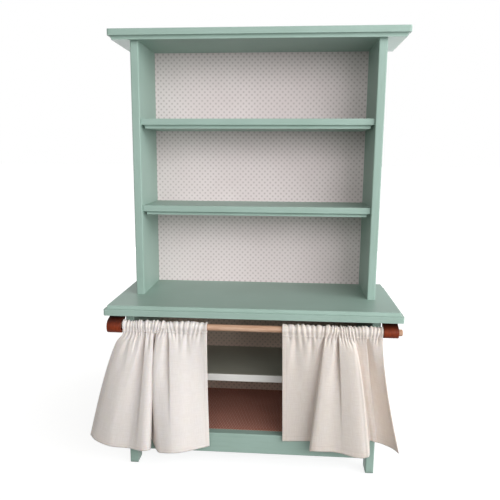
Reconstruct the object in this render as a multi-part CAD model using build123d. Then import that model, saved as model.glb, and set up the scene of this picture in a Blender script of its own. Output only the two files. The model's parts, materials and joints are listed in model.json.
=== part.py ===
from build123d import *
import math
import os

# A toy kitchen dresser: a papered hutch with two shelves stands on a curtained
# base cabinet. Millimetres, +X to the right, +Y to the back, +Z up.
# While it is built, X = 0 is the carcass's centre plane, Y = 0 the rear plane of
# the boards and Z = 0 the floor. The finished model is then moved so that the
# origin is the bottom centre of its bounding box.

# Boards and sheets
board_thickness = 18.0        # worktop, top board, hutch shelves, bottom board
side_thickness = 15.5         # the four upright side boards
inner_shelf_thickness = 15.0
rail_thickness = 18.0
panel_thickness = 4.0         # back panels
paper_thickness = 0.4         # lining paper
arris_radius = 2.0            # eased long edges of the uprights and the rail
rod_chamfer = 1.0

# Carcass
carcass_width = 466.0         # over the faces of the side boards
base_side_height = 302.0
base_depth = 221.0
hutch_side_height = 476.0
hutch_depth = 138.0

# Worktop and top board
worktop_end_overhang = 37.5
worktop_front_overhang = 17.0
top_board_end_overhang = 37.5
top_board_front_overhang = 19.0
slab_corner_radius = 4.0

# Routed edge: a square face, a small ledge and a cove
mould_height = 6.8
mould_ledge = 0.7
mould_quirk = 1.2             # upright flat left between the cove and the board's face
mould_corner_radius = 1.0

# Hutch shelves
lower_bay_height = 157.0
middle_bay_height = 145.0
shelf_setback = 6.0
shelf_corner_radius = 1.0

# Base inside
rail_height = 39.0
rail_setback = 1.5
foot_height = 32.0            # floor to the underside of the rail and arch
foot_depth = 31.0
arch_corner_radius = 18.0
foot_corner_radius = 9.0
sole_radius = 4.5             # rounding of the soles' long edges
inner_shelf_clear_height = 86.0
inner_shelf_setback = 49.0

# Curtain rod in its leather loops
rod_diameter = 12.0
rod_length = 531.0
rod_end_offset = 3.0          # the rod sits this far to the right of centre
rod_drop = 17.7               # worktop underside to the rod's axis
rod_lead = 13.0               # base front edge to the rod's axis
strap_width = 26.5
leather_thickness = 3.2
strap_side_gap = 2.0          # side board to strap
strap_tab_length = 28.0
strap_reach = 20.0            # rod axis back to where the two layers meet
loop_clearance = 0.05

# Curtains
pocket_depth = 18.0
pocket_rise = 12.0            # rod axis to the top of the heading
pocket_fall = 11.0            # rod axis to the pocket's seam
pocket_corner_radius = 7.0
pocket_clearance = 0.3
curtain_end_gap = 1.0         # strap to gathered curtain
cloth_depth = 3.0             # cloth measured front to back through a fold
hem_back_gap = 2.0            # rearmost fold to the front of the base
heading_fold_ratio = 0.15     # how much of a fold's depth is left at the seam
left_curtain_width = 155.5
left_hem_height = 44.0
left_outer_flare = 69.5
left_inner_flare = 4.0
right_curtain_width = 177.5
right_hem_height = 56.0
right_outer_flare = 37.5
right_inner_flare = -4.5

# Each fold, from the outer edge to the inner one: how far across the heading it
# starts, how far across the hem it ends (both as shares), and how far forward of
# the rearmost fold the hem stands there
left_folds = (
    (0.00, 0.00, 2.0),
    (0.08, 0.18, 15.0),
    (0.14, 0.28, 7.0),
    (0.24, 0.39, 25.0),
    (0.31, 0.51, 30.0),
    (0.34, 0.535, 1.0),
    (0.37, 0.57, 32.0),
    (0.66, 0.80, 29.0),
    (1.00, 1.00, 17.0),
)
right_folds = (
    (0.00, 0.00, 12.0),
    (0.10, 0.12, 4.0),
    (0.24, 0.23, 2.0),
    (0.27, 0.25, 33.0),
    (0.42, 0.52, 38.0),
    (0.55, 0.755, 32.0),
    (0.58, 0.775, 5.0),
    (0.80, 0.90, 4.0),
    (1.00, 1.00, 9.0),
)

# Fixings
dowel_diameter = 6.0
dowel_face_depth = 8.0        # depth in the face of a board
dowel_edge_depth = 20.0       # depth in the edge of a board
dowel_glue_gap = 0.05
dowel_end_gap = 0.5
dowel_inset = 26.0
worktop_dowel_inset = 44.0
screw_diameter = 4.0
screw_grip = 13.0             # thread length inside the worktop
screw_head_diameter = 8.5
screw_head_height = 2.4
screw_head_chamfer = 1.0
screw_clearance = 0.05

# Levels and lines that follow from the sizes above
cove_radius = mould_height - mould_quirk
half_width = carcass_width / 2
inner_half = half_width - side_thickness
worktop_bottom = base_side_height
worktop_top = worktop_bottom + board_thickness
hutch_top = worktop_top + hutch_side_height
lower_shelf_bottom = worktop_top + lower_bay_height
upper_shelf_bottom = lower_shelf_bottom + board_thickness + middle_bay_height
cabinet_floor = foot_height + rail_height
inner_shelf_bottom = cabinet_floor + inner_shelf_clear_height
rod_radius = rod_diameter / 2
rod_y = -base_depth - rod_lead
rod_z = worktop_bottom - rod_drop
strap_inner_x = half_width + strap_side_gap
strap_centre_x = strap_inner_x + strap_width / 2
dowel_radius = dowel_diameter / 2


# ---- helpers ----------------------------------------------------------------

def block(x_range, y_range, z_range):
    """A box between three pairs of coordinates."""
    size = [high - low for low, high in (x_range, y_range, z_range)]
    centre = [(high + low) / 2 for low, high in (x_range, y_range, z_range)]
    return Pos(*centre) * Box(*size)


def rod_between(start, end, radius):
    """A cylinder whose axis runs from one point to another."""
    start, end = Vector(*start), Vector(*end)
    axis = Plane(origin=start, z_dir=end - start)
    return extrude(axis * Circle(radius), (end - start).length)


def front_arrises(solid, radius):
    """Eases the upright edges at the front of a board."""
    edges = solid.edges().filter_by(Axis.Z).group_by(Axis.Y)[0]
    return fillet(edges, radius)


def slab_plan(length, front, rear, front_radius, rear_radius):
    """The plan of a board, with its corners rounded."""
    plan = Pos(0, (front + rear) / 2) * Rectangle(length, rear - front)
    plan = fillet(plan.vertices().group_by(Axis.Y)[0], front_radius)
    if rear_radius > 0:
        plan = fillet(plan.vertices().group_by(Axis.Y)[-1], rear_radius)
    return plan


def moulded_slab(length, front, rear, bottom, corner_radius, rear_radius, mould_up):
    """A board whose front and ends carry the routed cove, above or below."""
    plan = slab_plan(length, front, rear, corner_radius, rear_radius)
    whole = extrude(Pos(0, 0, bottom) * plan, board_thickness)
    beyond = rear + board_thickness
    face_plan = slab_plan(length, front, beyond, corner_radius, 0)
    face_height = board_thickness - mould_height
    face_bottom = bottom if mould_up else bottom + mould_height
    face = extrude(Pos(0, 0, face_bottom) * face_plan, face_height)
    inset = mould_ledge + cove_radius
    core_plan = slab_plan(
        length - 2 * inset, front + inset, beyond, mould_corner_radius, 0
    )
    core = extrude(Pos(0, 0, bottom) * core_plan, board_thickness)
    slab = face + core
    level = face_bottom + face_height if mould_up else face_bottom
    seam = new_edges(face, core, combined=slab).filter_by_position(Axis.Z, level, level)
    slab = fillet(seam, cove_radius)
    return slab & whole


# ---- joinery: dowels ---------------------------------------------------------

def upright_dowels(depths, joint_height, edge_side):
    """Dowels that stand between the edge of a side board and the face of a slab."""
    ends = []
    for side in (-1, 1):
        x = side * (half_width - side_thickness / 2)
        for y in depths:
            in_edge = (x, y, joint_height + edge_side * dowel_edge_depth)
            in_face = (x, y, joint_height - edge_side * dowel_face_depth)
            ends.append((in_edge, in_face))
    return ends


def shortened(start, end, trim):
    """The same run with a little taken off both ends."""
    start, end = Vector(*start), Vector(*end)
    step = (end - start).normalized() * trim
    return start + step, end - step


def dowel_group(runs):
    """One plain wooden dowel for each run."""
    dowels = []
    for start, end in runs:
        first, last = shortened(start, end, dowel_end_gap)
        dowels.append(rod_between(first, last, dowel_radius))
    return Compound(dowels)


def drilled(board, runs):
    """The board with a hole for each dowel that reaches it."""
    for start, end in runs:
        board = board - rod_between(start, end, dowel_radius + dowel_glue_gap)
    return board


hutch_dowel_depths = (-dowel_inset, -hutch_depth + dowel_inset)
base_dowel_depths = (-worktop_dowel_inset, -base_depth + worktop_dowel_inset)
top_board_runs = upright_dowels(hutch_dowel_depths, hutch_top, -1)
hutch_foot_runs = upright_dowels(hutch_dowel_depths, worktop_top, 1)
worktop_runs = upright_dowels(base_dowel_depths, worktop_bottom, -1)


# ---- hutch -------------------------------------------------------------------

def top_board():
    """The overhanging top of the hutch, moulded under its front and ends."""
    slab = moulded_slab(
        carcass_width + 2 * top_board_end_overhang,
        -hutch_depth - top_board_front_overhang,
        panel_thickness,
        hutch_top,
        slab_corner_radius,
        slab_corner_radius,
        mould_up=False,
    )
    return drilled(slab, top_board_runs)


def hutch_side(side):
    """One upright of the hutch; side is -1 for left and 1 for right."""
    faces = sorted((side * inner_half, side * half_width))
    board = block(faces, (-hutch_depth, 0), (worktop_top, hutch_top))
    board = front_arrises(board, arris_radius)
    return drilled(board, top_board_runs + hutch_foot_runs)


def hutch_shelf(bottom):
    """A hutch shelf, moulded under its front and ends, glued between the sides."""
    return moulded_slab(
        2 * inner_half,
        -hutch_depth + shelf_setback,
        -paper_thickness,
        bottom,
        shelf_corner_radius,
        0,
        mould_up=False,
    )


def back_panel(bottom, top):
    """A thin panel across the rear edges of the boards."""
    return block((-half_width, half_width), (0, panel_thickness), (bottom, top))


def back_paper(bottom, top):
    """The lining paper on the front of a back panel."""
    return block((-inner_half, inner_half), (-paper_thickness, 0), (bottom, top))


# ---- base --------------------------------------------------------------------

def worktop():
    """The slab between base and hutch, moulded above its front and ends."""
    slab = moulded_slab(
        carcass_width + 2 * worktop_end_overhang,
        -base_depth - worktop_front_overhang,
        panel_thickness,
        worktop_bottom,
        slab_corner_radius,
        slab_corner_radius,
        mould_up=True,
    )
    slab = drilled(slab, hutch_foot_runs + worktop_runs)
    for side in (-1, 1):
        slab = slab - strap_screw_hole(side)
    return slab


def side_profile():
    """The base side seen from the side, with its arch and rounded feet."""
    board = Pos(-base_depth / 2, worktop_bottom / 2) * Rectangle(base_depth, worktop_bottom)
    arch_width = base_depth - 2 * foot_depth
    arch = Pos(-base_depth / 2, 0) * Rectangle(arch_width, 2 * foot_height)
    board = board - arch
    soles = board.vertices().group_by(Axis.Y)[0]
    board = fillet(soles, foot_corner_radius)
    crown = board.vertices().group_by(Axis.Y)[-2]
    return fillet(crown, arch_corner_radius)


def base_side(side):
    """One upright of the base, cut in an arch so that it stands on two feet."""
    middle = side * (half_width - side_thickness / 2)
    across = Plane(origin=(middle, 0, 0), x_dir=(0, 1, 0), z_dir=(1, 0, 0))
    board = extrude(across * side_profile(), side_thickness / 2, both=True)
    plan = Pos(middle, -base_depth / 2) * Rectangle(side_thickness, base_depth)
    plan = fillet(plan.vertices().group_by(Axis.Y)[0], arris_radius)
    board = board & extrude(plan, worktop_bottom)
    front = Pos(0, worktop_bottom / 2) * Rectangle(side_thickness, worktop_bottom)
    front = fillet(front.vertices().group_by(Axis.Y)[0], sole_radius)
    facing = Plane(origin=(middle, 0, 0), x_dir=(1, 0, 0), z_dir=(0, -1, 0))
    board = board & extrude(facing * front, base_depth)
    return drilled(board, worktop_runs)


def front_rail():
    """The rail across the front, flush with the cabinet's floor."""
    front = -base_depth + rail_setback
    rail = block(
        (-inner_half, inner_half), (front, front + rail_thickness), (foot_height, cabinet_floor)
    )
    return fillet(rail.edges().filter_by(Axis.X).group_by(Axis.Y)[0], arris_radius)


def bottom_board():
    """The floor of the cabinet."""
    front = -base_depth + rail_setback + rail_thickness
    return block(
        (-inner_half, inner_half), (front, 0), (cabinet_floor - board_thickness, cabinet_floor)
    )


def bottom_paper():
    """The lining paper on the cabinet's floor."""
    front = -base_depth + rail_setback + rail_thickness
    return block(
        (-inner_half, inner_half),
        (front, -paper_thickness),
        (cabinet_floor, cabinet_floor + paper_thickness),
    )


def inner_shelf():
    """The plain shelf inside the cabinet."""
    board = block(
        (-inner_half, inner_half),
        (-base_depth + inner_shelf_setback, -paper_thickness),
        (inner_shelf_bottom, inner_shelf_bottom + inner_shelf_thickness),
    )
    return fillet(board.edges().filter_by(Axis.X).group_by(Axis.Y)[0], arris_radius)


# ---- curtain rod, leather loops and curtains ----------------------------------

def teardrop(radius, apex):
    """A round drawn out to a point, in the YZ plane about the rod's axis."""
    reach = math.hypot(*apex)
    lean = math.atan2(apex[1], apex[0])
    spread = math.acos(radius / reach)
    high = (radius * math.cos(lean + spread), radius * math.sin(lean + spread))
    low = (radius * math.cos(lean - spread), radius * math.sin(lean - spread))
    far = (-radius * math.cos(lean), -radius * math.sin(lean))
    outline = Line(apex, high) + ThreePointArc(high, far, low) + Line(low, apex)
    return make_face(outline)


def screw_line():
    """Y of the strap screws, in the middle of the tab."""
    return rod_y + strap_reach + strap_tab_length / 2


def strap(side):
    """A leather strip doubled round the rod; its two ends lie under the worktop."""
    inner = rod_radius + loop_clearance
    outer = inner + leather_thickness
    apex = (strap_reach, rod_drop - 2 * leather_thickness)
    outer_apex = tuple(value * outer / inner for value in apex)
    loop = teardrop(outer, outer_apex) - teardrop(inner, apex)
    tab_bottom = rod_drop - 2 * leather_thickness
    tab_middle = strap_reach + strap_tab_length / 2
    tab = Pos(tab_middle, tab_bottom + leather_thickness) * Rectangle(
        strap_tab_length, 2 * leather_thickness
    )
    span = 2 * (outer + strap_reach + strap_tab_length)
    below = Pos(0, rod_drop - span / 2) * Rectangle(span, span)
    profile = (loop + tab) & below
    section = Plane(
        origin=(side * strap_centre_x, rod_y, rod_z), x_dir=(0, 1, 0), z_dir=(1, 0, 0)
    )
    leather = extrude(section * profile, strap_width / 2, both=True)
    return leather - strap_screw_hole(side)


def strap_screw_hole(side):
    """The hole through both layers of a strap and up into the worktop."""
    x, y = side * strap_centre_x, screw_line()
    start = (x, y, worktop_bottom - 2 * leather_thickness)
    end = (x, y, worktop_bottom + screw_grip + screw_clearance)
    return rod_between(start, end, screw_diameter / 2 + screw_clearance)


def strap_screws():
    """One round-headed screw up through each strap."""
    screws = []
    for side in (-1, 1):
        x, y = side * strap_centre_x, screw_line()
        seat = worktop_bottom - 2 * leather_thickness
        head = rod_between(
            (x, y, seat - screw_head_height), (x, y, seat), screw_head_diameter / 2
        )
        head = chamfer(head.edges().sort_by(Axis.Z)[0], screw_head_chamfer)
        tip = worktop_bottom + screw_grip
        screws.append(head + rod_between((x, y, seat), (x, y, tip), screw_diameter / 2))
    return Compound(screws)


def curtain_rod():
    """The round rod, with its ends eased."""
    start = (rod_end_offset - rod_length / 2, rod_y, rod_z)
    end = (rod_end_offset + rod_length / 2, rod_y, rod_z)
    rod = rod_between(start, end, rod_radius)
    return chamfer(rod.edges().filter_by(GeomType.CIRCLE), rod_chamfer)


def strip(lower, upper):
    """Triangles that join two rows of points."""
    faces = []
    for a, b, c, d in zip(lower, lower[1:], upper, upper[1:]):
        faces.append(Face(Wire.make_polygon([a, b, c])))
        faces.append(Face(Wire.make_polygon([b, d, c])))
    return faces


def folded_skirt(head_edges, hem_edges, head_height, hem_height, folds):
    """A cloth of even depth whose folds run from a heading to a hem."""
    rear_line = -base_depth - hem_back_gap
    middle_fold = sum(forward for _, _, forward in folds) / len(folds)
    rows = {}
    for offset in (0, cloth_depth):
        hem, head = [], []
        for head_share, hem_share, forward in folds:
            hem_x = hem_edges[0] + (hem_edges[1] - hem_edges[0]) * hem_share
            head_x = head_edges[0] + (head_edges[1] - head_edges[0]) * head_share
            head_y = rod_y - heading_fold_ratio * (forward - middle_fold) - cloth_depth / 2
            hem.append((hem_x, rear_line - forward - cloth_depth + offset, hem_height))
            head.append((head_x, head_y + offset, head_height))
        rows[offset] = (hem, head)
    (front_hem, front_head), (rear_hem, rear_head) = rows[0], rows[cloth_depth]
    faces = strip(front_hem, front_head) + strip(rear_hem, rear_head)
    for end in (0, -1):
        corners = [front_hem[end], rear_hem[end], rear_head[end], front_head[end]]
        faces.append(Face(Wire.make_polygon(corners)))
    faces.append(Face(Wire.make_polygon(front_hem + rear_hem[::-1])))
    faces.append(Face(Wire.make_polygon(front_head + rear_head[::-1])))
    return Solid(Shell(faces))


def curtain(side, width, hem_height, outer_flare, inner_flare, folds):
    """A gathered curtain: a pocket round the rod and a folded skirt below it."""
    outer = side * (strap_inner_x - curtain_end_gap)
    inner = outer - side * width
    pocket_height = pocket_rise + pocket_fall
    section = Plane(origin=(outer, rod_y, rod_z), x_dir=(0, 1, 0), z_dir=(1, 0, 0))
    profile = Pos(0, (pocket_rise - pocket_fall) / 2) * RectangleRounded(
        pocket_depth, pocket_height, pocket_corner_radius
    )
    profile = profile - Circle(rod_radius + pocket_clearance)
    pocket = extrude(section * profile, -side * width)
    seam_wall = pocket_fall - rod_radius - pocket_clearance
    skirt = folded_skirt(
        (outer, inner),
        (outer + side * outer_flare, inner - side * inner_flare),
        rod_z - pocket_fall + seam_wall / 2,
        hem_height,
        folds,
    )
    return pocket + skirt


# ---- the whole object ----------------------------------------------------------

parts = {
    "top_board": top_board(),
    "hutch_side_left": hutch_side(-1),
    "hutch_side_right": hutch_side(1),
    "upper_shelf": hutch_shelf(upper_shelf_bottom),
    "lower_shelf": hutch_shelf(lower_shelf_bottom),
    "hutch_back_panel": back_panel(worktop_top, hutch_top),
    "hutch_lining_paper": back_paper(worktop_top, hutch_top),
    "worktop": worktop(),
    "base_side_left": base_side(-1),
    "base_side_right": base_side(1),
    "front_rail": front_rail(),
    "bottom_board": bottom_board(),
    "bottom_lining_paper": bottom_paper(),
    "inner_shelf": inner_shelf(),
    "base_back_panel": back_panel(cabinet_floor - board_thickness, worktop_bottom),
    "base_lining_paper": back_paper(cabinet_floor, worktop_bottom),
    "strap_left": strap(-1),
    "strap_right": strap(1),
    "strap_screws": strap_screws(),
    "curtain_rod": curtain_rod(),
    "curtain_left": curtain(
        -1, left_curtain_width, left_hem_height, left_outer_flare, left_inner_flare, left_folds
    ),
    "curtain_right": curtain(
        1, right_curtain_width, right_hem_height, right_outer_flare, right_inner_flare,
        right_folds,
    ),
    "top_board_dowels": dowel_group(top_board_runs),
    "hutch_foot_dowels": dowel_group(hutch_foot_runs),
    "worktop_dowels": dowel_group(worktop_runs),
}

bounds = Compound(list(parts.values())).bounding_box(optimal=True)
origin_shift = Pos(-bounds.center().X, -bounds.center().Y, -bounds.min.Z)

os.makedirs("parts", exist_ok=True)
for node, shape in parts.items():
    export_step(origin_shift * shape, f"parts/{node}.step")
print(f"moved by {origin_shift.position}, size {bounds.size}")
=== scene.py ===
"""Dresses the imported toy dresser: paint, lining paper, wood, leather and gathered cloth.

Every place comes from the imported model, in metres: +X to the right, +Y to the back
and +Z up. Each sub-assembly is a class; each finish is a frozen dataclass.
"""

from __future__ import annotations

import json
import logging
import math
from dataclasses import dataclass
from enum import Enum

import bpy
import numpy as np
from bpy.types import NodeSocket
from mathutils import Matrix, Vector

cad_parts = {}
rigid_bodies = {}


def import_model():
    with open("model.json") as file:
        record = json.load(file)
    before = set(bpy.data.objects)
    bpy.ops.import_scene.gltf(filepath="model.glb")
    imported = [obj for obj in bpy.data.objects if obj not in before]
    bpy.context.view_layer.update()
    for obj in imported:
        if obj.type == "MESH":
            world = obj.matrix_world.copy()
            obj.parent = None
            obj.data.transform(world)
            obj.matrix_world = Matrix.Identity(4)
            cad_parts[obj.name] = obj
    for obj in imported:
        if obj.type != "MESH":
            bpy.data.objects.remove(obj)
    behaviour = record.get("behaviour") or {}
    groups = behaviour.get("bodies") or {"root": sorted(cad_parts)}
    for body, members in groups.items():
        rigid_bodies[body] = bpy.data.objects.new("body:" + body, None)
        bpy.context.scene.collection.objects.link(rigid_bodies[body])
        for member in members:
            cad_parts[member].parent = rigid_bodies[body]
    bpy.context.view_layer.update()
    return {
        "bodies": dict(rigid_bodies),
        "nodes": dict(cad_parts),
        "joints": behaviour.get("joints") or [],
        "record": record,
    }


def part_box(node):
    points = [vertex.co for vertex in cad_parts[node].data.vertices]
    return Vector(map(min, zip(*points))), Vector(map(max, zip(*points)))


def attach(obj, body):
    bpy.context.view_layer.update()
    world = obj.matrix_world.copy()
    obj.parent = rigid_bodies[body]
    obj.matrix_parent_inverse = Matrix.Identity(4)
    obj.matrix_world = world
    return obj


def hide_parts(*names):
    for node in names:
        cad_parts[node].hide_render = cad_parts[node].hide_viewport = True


LOG = logging.getLogger("dresser")
MM = 0.001


class Side(Enum):
    """Which end of the dresser a piece belongs to."""

    LEFT = -1
    RIGHT = 1


class Run(Enum):
    """The direction that a board's grain and brush strokes run in, by how much it draws them out."""

    ACROSS = (0.06, 1.0, 1.0)
    UPRIGHT = (1.0, 1.0, 0.06)


class Lie(Enum):
    """How a lining paper lies, by the axis that its rows of dots are counted along."""

    WALL = "Z"
    FLOOR = "Y"


class Socket(Enum):
    """The kinds of socket that the shader groups have, each with the default of its inputs."""

    NUMBER = ("NodeSocketFloat", 0.0)
    COLOUR = ("NodeSocketColor", (0.5, 0.5, 0.5, 1.0))
    VECTOR = ("NodeSocketVector", (0.0, 0.0, 0.0))


Colour = tuple[float, float, float, float]
Value = NodeSocket | float


def tone(red: int, green: int, blue: int) -> Colour:
    """Turns a display colour into the linear one that shaders use.

    Args:
        red: red from 0 to 255.
        green: green from 0 to 255.
        blue: blue from 0 to 255.

    Returns:
        The linear colour with full alpha.
    """
    steps = [value / 255 for value in (red, green, blue)]
    linear = [s / 12.92 if s <= 0.04045 else ((s + 0.055) / 1.055) ** 2.4 for s in steps]
    return (linear[0], linear[1], linear[2], 1.0)


# ---- shader graph helpers ------------------------------------------------------


class Graph:
    """Adds nodes to one shader tree and links them."""

    def __init__(self, tree: bpy.types.NodeTree) -> None:
        """Keeps the tree that nodes are added to."""
        self.tree = tree

    def put(self, kind: str, inputs: dict | None = None, **settings: object) -> bpy.types.Node:
        """Adds a node, sets its properties, and fills or links its inputs.

        Args:
            kind: the node's type without its ShaderNode prefix.
            inputs: values or sockets for the inputs, by name or index.
            **settings: properties of the node itself.

        Returns:
            The new node.
        """
        node = self.tree.nodes.new("ShaderNode" + kind)
        for name, value in settings.items():
            setattr(node, name, value)
        self.fill(node, inputs or {})
        return node

    def fill(self, node: bpy.types.Node, inputs: dict) -> None:
        """Links sockets into a node's inputs, and sets the others to plain values.

        Args:
            node: the node.
            inputs: values or sockets for its inputs, by name or index.
        """
        for name, value in inputs.items():
            if isinstance(value, NodeSocket):
                self.tree.links.new(value, node.inputs[name])
            else:
                node.inputs[name].default_value = value

    def maths(self, operation: str, first: Value, second: Value = 0.0) -> NodeSocket:
        """Adds a Math node and returns its output socket."""
        return self.put("Math", {0: first, 1: second}, operation=operation).outputs[0]

    def times(self, first: Value, second: Value) -> NodeSocket:
        """Multiplies two values."""
        return self.maths("MULTIPLY", first, second)

    def plus(self, first: Value, second: Value) -> NodeSocket:
        """Adds two values."""
        return self.maths("ADD", first, second)

    def weigh(self, first: Value, weight: float, second: Value, second_weight: float) -> NodeSocket:
        """Adds two values, each times its own weight."""
        return self.plus(self.times(first, weight), self.times(second, second_weight))

    def mix(self, share: Value, first: NodeSocket | Colour, second: NodeSocket | Colour) -> NodeSocket:
        """Mixes two colours.

        Args:
            share: how much of the second colour shows, a value or socket.
            first: the first colour.
            second: the second colour.

        Returns:
            The colour output.
        """
        node = self.put("Mix", data_type="RGBA", clamp_factor=True)
        self.fill(node, {0: share, 6: first, 7: second})
        return node.outputs[2]

    def band(self, value: Value, low: float, high: float, start: float = 0.0, end: float = 1.0) -> NodeSocket:
        """Maps a value smoothly from one range, low to high, to another, start to end."""
        inputs = {"Value": value, "From Min": low, "From Max": high, "To Min": start, "To Max": end}
        return self.put("MapRange", inputs, interpolation_type="SMOOTHSTEP").outputs[0]

    def noise(self, vector: Value, scale: float, detail: float = 3.0, rough: float = 0.55) -> NodeSocket:
        """A noise texture's value."""
        inputs = {"Vector": vector, "Scale": scale, "Detail": detail, "Roughness": rough}
        return self.put("TexNoise", inputs).outputs[0]

    def stretch(self, vector: NodeSocket, scale: tuple[float, float, float]) -> NodeSocket:
        """Scales coordinates."""
        inputs = {"Vector": vector, "Scale": scale}
        return self.put("Mapping", inputs, vector_type="POINT").outputs[0]


class Group(Graph):
    """A shader node group that is built once and placed in many materials."""

    def __init__(self, name: str, inputs: dict[Socket, str], outputs: dict[Socket, str]) -> None:
        """Makes the group's sockets.

        Args:
            name: the group's name.
            inputs: the names of its inputs, by kind.
            outputs: the names of its outputs, by kind.
        """
        super().__init__(bpy.data.node_groups.new(name, "ShaderNodeTree"))
        for side, sockets in (("INPUT", inputs), ("OUTPUT", outputs)):
            for kind, labels in sockets.items():
                for label in labels.split():
                    self._open(label, side, kind)
        self.inside = self.tree.nodes.new("NodeGroupInput").outputs
        self.result = self.tree.nodes.new("NodeGroupOutput")

    def _open(self, label: str, side: str, kind: Socket) -> None:
        """Adds one socket to the group's own face."""
        name, value = kind.value
        self.tree.interface.new_socket(label, in_out=side, socket_type=name).default_value = value

    def along(self) -> NodeSocket:
        """The group's coordinates, drawn out along its run."""
        inputs = {0: self.inside["Vector"], 1: self.inside["Run"]}
        return self.put("VectorMath", inputs, operation="MULTIPLY").outputs[0]

    def place(self, graph: Graph, inputs: dict) -> bpy.types.NodeOutputs:
        """Puts the group into a material.

        Args:
            graph: the material's graph.
            inputs: values or sockets for the group's inputs, by name.

        Returns:
            The group's outputs there.
        """
        node = graph.put("Group", node_tree=self.tree)
        graph.fill(node, inputs)
        return node.outputs


COAT = {Socket.COLOUR: "Colour", Socket.NUMBER: "Roughness Height"}
MASK = {Socket.NUMBER: "Mask"}


class Effects:
    """The shader groups that the finishes share."""

    def __init__(self) -> None:
        """Builds every group once."""
        self.rub = self._edge_wear_and_highlight()
        self.strokes = self._brush_strokes()
        self.grain = self._wood_grain()
        self.dots = self._dot_lattice()

    @staticmethod
    def _edge_wear_and_highlight() -> Group:
        """A mask of a board's arrises, broken up as handling breaks it, where the paint is rubbed lighter and
        a highlight is painted.

        Returns:
            The group.
        """
        group = Group("edge_rub", {Socket.VECTOR: "Vector", Socket.NUMBER: "Radius"}, MASK)
        soft = group.put("Bevel", {"Radius": group.inside["Radius"]}, samples=6).outputs[0]
        flat = group.put("NewGeometry").outputs["Normal"]
        facing = group.put("VectorMath", {0: soft, 1: flat}, operation="DOT_PRODUCT")
        edge = group.band(facing.outputs["Value"], 0.985, 0.80)
        breaks = group.band(group.noise(group.inside["Vector"], 90.0), 0.35, 0.62, 0.35, 1.0)
        group.fill(group.result, {"Mask": group.times(edge, breaks)})
        return group

    @staticmethod
    def _brush_strokes() -> Group:
        """Brushed paint: tone drift, faint strokes and the stipple left by a roller.

        Returns:
            The group.
        """
        inputs = {Socket.VECTOR: "Vector Run", Socket.COLOUR: "Colour Deep Rubbed", Socket.NUMBER: "Rub"}
        group = Group("brush_strokes", inputs, COAT)
        inside = group.inside
        streak = group.noise(group.along(), 420.0, 4.0, 0.6)
        drift = group.noise(inside["Vector"], 7.0, 2.0)
        stipple = group.noise(inside["Vector"], 900.0, 2.0)
        shade = group.band(group.weigh(streak, 0.45, drift, 0.55), 0.36, 0.66)
        paint = group.mix(shade, inside["Deep"], inside["Colour"])
        outputs = {
            # the arrises take the lighter tone: partly rubbed paint, partly a painted highlight
            "Colour": group.mix(inside["Rub"], paint, inside["Rubbed"]),
            "Roughness": group.plus(group.weigh(streak, 0.16, stipple, 0.08), 0.34),
            "Height": group.weigh(streak, 0.7, stipple, 0.5),
        }
        group.fill(group.result, outputs)
        return group

    @staticmethod
    def _wood_grain() -> Group:
        """Bare timber: long growth bands, fine pores and a few darker flecks.

        Returns:
            The group.
        """
        group = Group("wood_grain", {Socket.VECTOR: "Vector Run", Socket.COLOUR: "Light Dark"}, COAT)
        inside, along = group.inside, group.along()
        bands = group.noise(along, 260.0, 5.0, 0.62)
        pores = group.noise(group.stretch(along, (0.4, 1.0, 1.0)), 1500.0, 2.0)
        fleck = group.band(group.noise(along, 900.0, 1.0), 0.62, 0.74)
        wood = group.mix(group.band(bands, 0.34, 0.68), inside["Dark"], inside["Light"])
        outputs = {
            "Colour": group.mix(group.times(fleck, 0.45), wood, inside["Dark"]),
            "Roughness": group.plus(group.times(pores, 0.2), 0.42),
            "Height": group.plus(bands, pores),
        }
        group.fill(group.result, outputs)
        return group

    @staticmethod
    def _dot_lattice() -> Group:
        """Small round dots in rows, each row set half a step along from the last.

        Returns:
            The group.
        """
        group = Group("dot_lattice", {Socket.NUMBER: "Across Along Pitch Dot"}, MASK)
        inside, nearest = group.inside, None
        for shift in (0.0, 0.5):
            legs = []
            for axis in ("Across", "Along"):
                cell = group.plus(group.maths("DIVIDE", inside[axis], inside["Pitch"]), shift + 100.0)
                leg = group.maths("SUBTRACT", group.maths("FRACT", cell), 0.5)
                leg = group.times(leg, inside["Pitch"])
                legs.append(group.times(leg, leg))
            reach = group.maths("SQRT", group.plus(*legs))
            nearest = reach if nearest is None else group.maths("MINIMUM", nearest, reach)
        share = group.maths("DIVIDE", nearest, inside["Dot"])
        group.fill(group.result, {"Mask": group.band(share, 1.45, 0.35)})
        return group


# ---- finishes ------------------------------------------------------------------


class Surface(Graph):
    """The shader graph of one material, round the surface shader that it comes with."""

    def __init__(self, name: str) -> None:
        """Makes the material.

        Args:
            name: the material's name.
        """
        self.material = bpy.data.materials.new(name)
        self.material.use_nodes = True
        super().__init__(self.material.node_tree)
        self.shader = self.tree.nodes["Principled BSDF"]

    def place(self, kind: str = "Object") -> NodeSocket:
        """The piece's own coordinates, or its normal."""
        return self.put("TexCoord").outputs[kind]

    def axes(self, vector: NodeSocket) -> bpy.types.NodeOutputs:
        """Splits a vector into X, Y and Z."""
        return self.put("SeparateXYZ", {0: vector}).outputs

    def relief(self, height: NodeSocket, strength: float, distance: float, **normal: object) -> NodeSocket:
        """Turns a height into a normal; the one to start from may be given as `Normal`."""
        inputs = {"Height": height, "Strength": strength, "Distance": distance, **normal}
        return self.put("Bump", inputs).outputs[0]

    def finish(self, inputs: dict) -> bpy.types.Material:
        """Fills the surface shader's inputs and returns the material."""
        self.fill(self.shader, inputs)
        return self.material


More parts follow.
